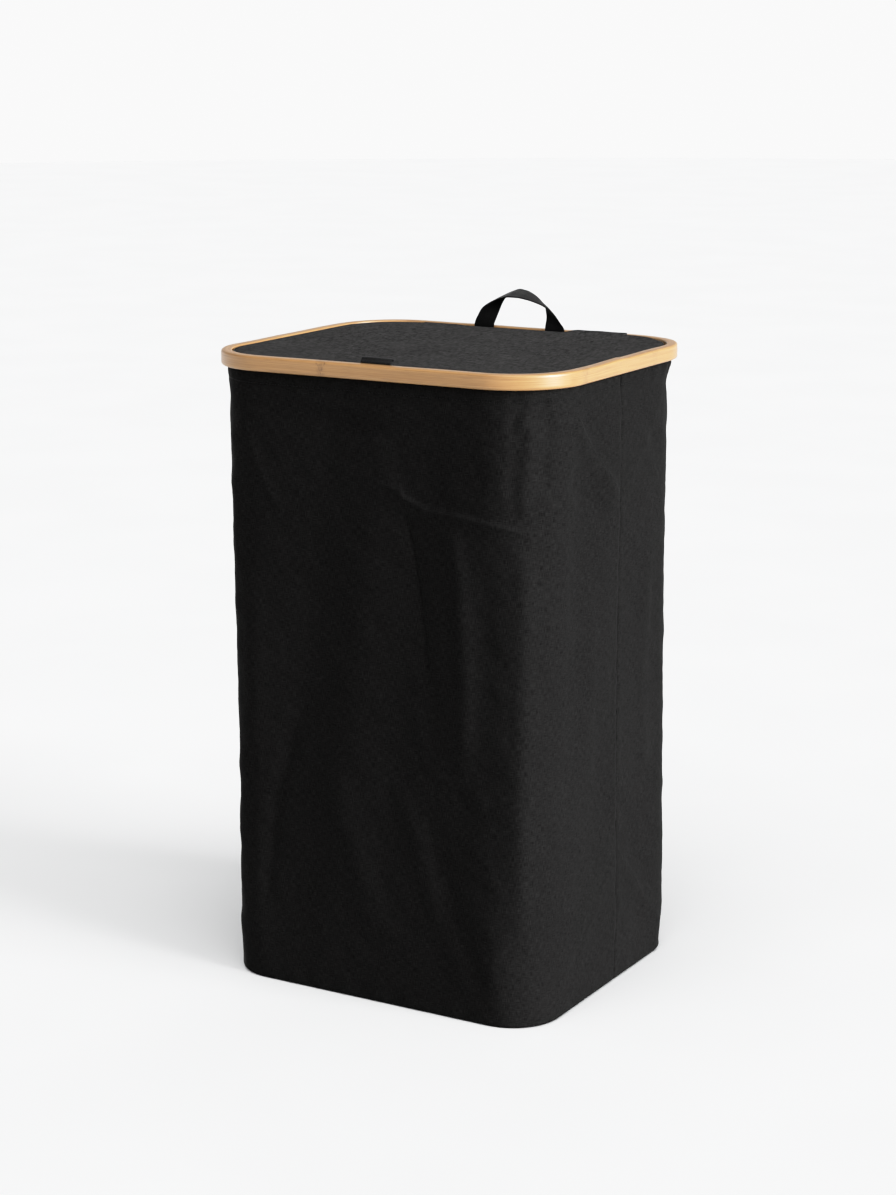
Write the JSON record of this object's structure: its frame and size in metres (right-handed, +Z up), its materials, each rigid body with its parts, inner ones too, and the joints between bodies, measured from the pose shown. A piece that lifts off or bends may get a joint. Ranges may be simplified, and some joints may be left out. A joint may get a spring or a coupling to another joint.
{
  "type": "laundry hamper",
  "caption": "Tall rounded rectangular fabric laundry hamper with a bamboo hoop, hinged fabric lid, webbing handle and front pull tab.",
  "frame": {"origin": "centre of the base, on the floor", "axes": "+Z up, front with the pull tab towards -Y, hinge and handle at the back towards +Y"},
  "size_m": [0.4, 0.3481, 0.6883],
  "materials": {
    "bamboo": "satin clear lacquer",
    "black_plastic": "matte",
    "steel": "zinc plated",
    "body_cloth": "plain weave, black",
    "black_tape": "twill tape",
    "sleeve_cloth": "nonwoven",
    "hardboard": "smooth hardboard",
    "rod_tube": "drawn tube",
    "rod_core": "matte",
    "lid_cloth": "heathered grey",
    "lining_cloth": "plain weave",
    "webbing": "ribbed webbing",
    "ribbon": "grosgrain"
  },
  "bodies": {
    "hamper_body": {"bamboo_hoop": "bamboo", "inner_hoop": "black_plastic", "top_socket_front_right": "black_plastic", "top_socket_back_right": "black_plastic", "top_socket_back_left": "black_plastic", "top_socket_front_left": "black_plastic", "bottom_socket_front_right": "black_plastic", "bottom_socket_back_right": "black_plastic", "bottom_socket_back_left": "black_plastic", "bottom_socket_front_left": "black_plastic", "hoop_screws": "steel", "front_panel": "body_cloth", "back_panel": "body_cloth", "bottom_panel": "body_cloth", "seam_tape_left": "black_tape", "seam_tape_right": "black_tape", "bottom_binding": "black_tape", "rod_sleeve_front_right": "sleeve_cloth", "rod_sleeve_back_right": "sleeve_cloth", "rod_sleeve_back_left": "sleeve_cloth", "rod_sleeve_front_left": "sleeve_cloth", "base_board": "hardboard", "lower_rod_front_right": "rod_tube", "lower_rod_back_right": "rod_tube", "lower_rod_back_left": "rod_tube", "lower_rod_front_left": "rod_tube", "upper_rod_front_right": "rod_tube", "upper_rod_back_right": "rod_tube", "upper_rod_back_left": "rod_tube", "upper_rod_front_left": "rod_tube", "rod_ferrule_front_right": "rod_core", "rod_ferrule_back_right": "rod_core", "rod_ferrule_back_left": "rod_core", "rod_ferrule_front_left": "rod_core", "hinge_flap": "lid_cloth", "handle_ends": "webbing"},
    "lid": {"lid_board": "hardboard", "lid_cover": "lid_cloth", "lid_lining": "lining_cloth", "lid_binding": "black_tape", "tab_root": "ribbon"},
    "handle": {"handle_strap": "webbing"},
    "tab": {"pull_tab": "ribbon"}
  },
  "joints": [
    {"name": "lid_hinge", "type": "hinge", "parent": "hamper_body", "child": "lid", "pos_m": [0, 0.1522, 0.649], "axis": [-1, 0, 0], "range_deg": [0, 95], "deforming": ["hinge_flap"]},
    {"name": "handle_fold", "type": "hinge", "parent": "hamper_body", "child": "handle", "pos_m": [0, 0.15415, 0.6515], "axis": [-1, 0, 0], "range_deg": [0, 50], "stiffness_Nm_per_rad": 0.05},
    {"name": "tab_fold", "type": "hinge", "parent": "lid", "child": "tab", "pos_m": [0.0075, -0.1548, 0.65], "axis": [1, 0, 0], "range_deg": [-35, 80], "stiffness_Nm_per_rad": 0.01}
  ]
}
